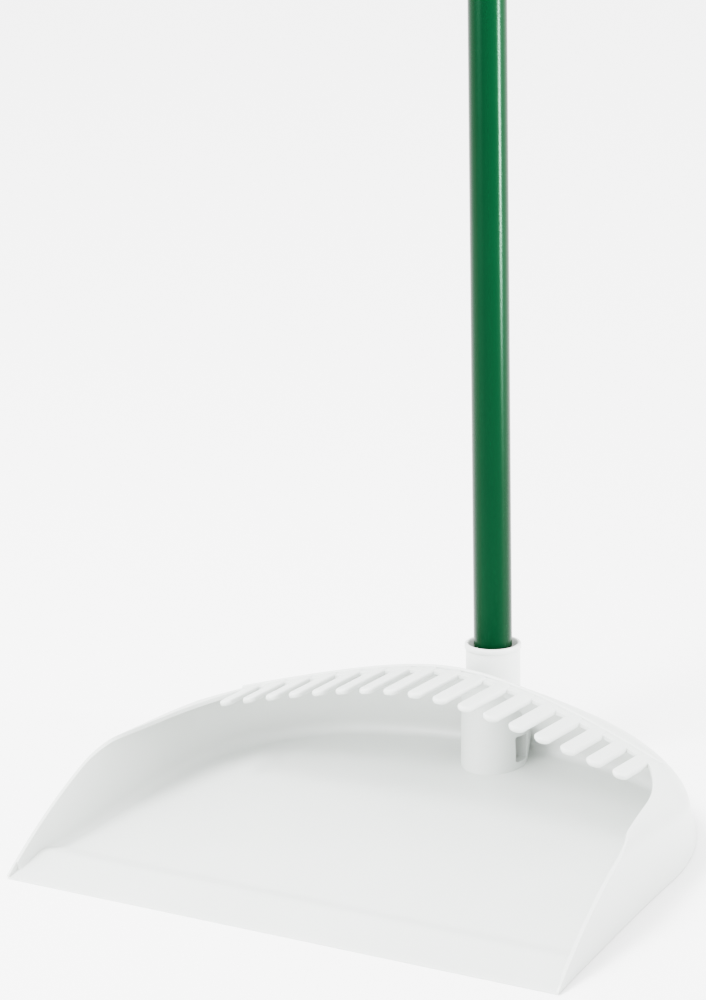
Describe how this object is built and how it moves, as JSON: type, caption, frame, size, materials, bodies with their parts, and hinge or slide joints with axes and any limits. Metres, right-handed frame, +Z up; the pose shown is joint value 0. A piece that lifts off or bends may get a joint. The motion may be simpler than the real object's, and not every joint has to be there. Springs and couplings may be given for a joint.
{
  "type": "long-handled dust pan",
  "caption": "Upright dust pan with an arched, combed hood over a deep D-shaped tray, and a steel handle that screws into a socket at the back.",
  "frame": {"origin": "middle of the pan's flat underside, on the floor that it stands on", "axes": "+Z up, +Y from the front lip towards the back wall, +X to the right of someone who looks along +Y"},
  "size_m": [0.4122, 0.3811, 0.785],
  "materials": {
    "pan": "off-white moulded polypropylene, satin, slightly milky",
    "tip": "natural nylon, satin",
    "handle": "glossy deep green powder coat on steel tube",
    "cap": "moulded green polypropylene, semi-gloss"
  },
  "bodies": {
    "pan": {"pan_floor": "pan", "front_ramp": "pan", "side_wall_left": "pan", "side_wall_right": "pan", "corner_wall_left": "pan", "corner_wall_right": "pan", "back_wall": "pan", "hood": "pan", "hood_bead": "pan", "comb_teeth": "pan", "handle_socket": "pan"},
    "cap": {"hang_cap": "cap"},
    "handle": {"threaded_tip": "tip", "handle_tube": "handle"}
  },
  "joints": [
    {"name": "handle_rise", "type": "slide", "parent": "pan", "child": "cap", "axis": [0, 0.1305, 0.9914], "range_m": [0, 0.0203]},
    {"name": "handle_turn", "type": "hinge", "parent": "cap", "child": "handle", "pos_m": [0, 0.12211, 0.03123], "axis": [0, 0.1305, 0.9914], "range_deg": [0, 1440]}
  ],
  "couplings": [
    {"joint": "handle_turn", "follows": "handle_rise", "rad_per_m": 1236.8}
  ]
}
